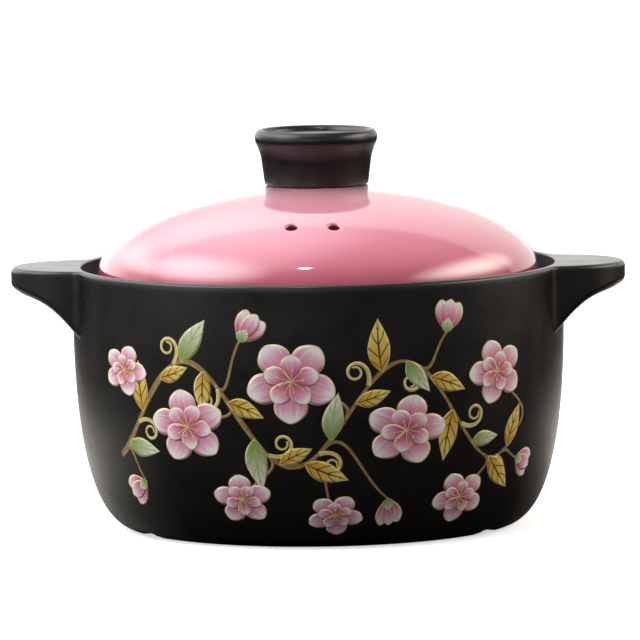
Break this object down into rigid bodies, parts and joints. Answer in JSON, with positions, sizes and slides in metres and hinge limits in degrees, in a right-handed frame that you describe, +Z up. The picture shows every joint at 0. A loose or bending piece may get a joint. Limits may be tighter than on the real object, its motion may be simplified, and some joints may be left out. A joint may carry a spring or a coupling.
{
  "type": "lidded clay cooking pot",
  "caption": "Round lidded clay cooking pot: black-glazed bowl with lug handles at the rim, glossy pink domed lid with steam holes that drops into a gallery, and a hollow black knob.",
  "frame": {"origin": "centre of the foot ring, on the surface the pot stands on", "axes": "+X through the right handle, -Y the front with the steam holes, +Z up along the axis of the pot and lid"},
  "size_m": [0.288, 0.2308, 0.186],
  "materials": {
    "black_glaze": "satin",
    "pink_glaze": "gloss"
  },
  "bodies": {
    "pot": {"pot_body": "black_glaze", "left_handle": "black_glaze", "right_handle": "black_glaze"},
    "cover": {"lid": "pink_glaze", "knob": "black_glaze"}
  },
  "joints": [
    {"name": "lid_lift", "type": "slide", "parent": "pot", "child": "cover", "axis": [0, 0, 1], "range_m": [0, 0.15]}
  ]
}
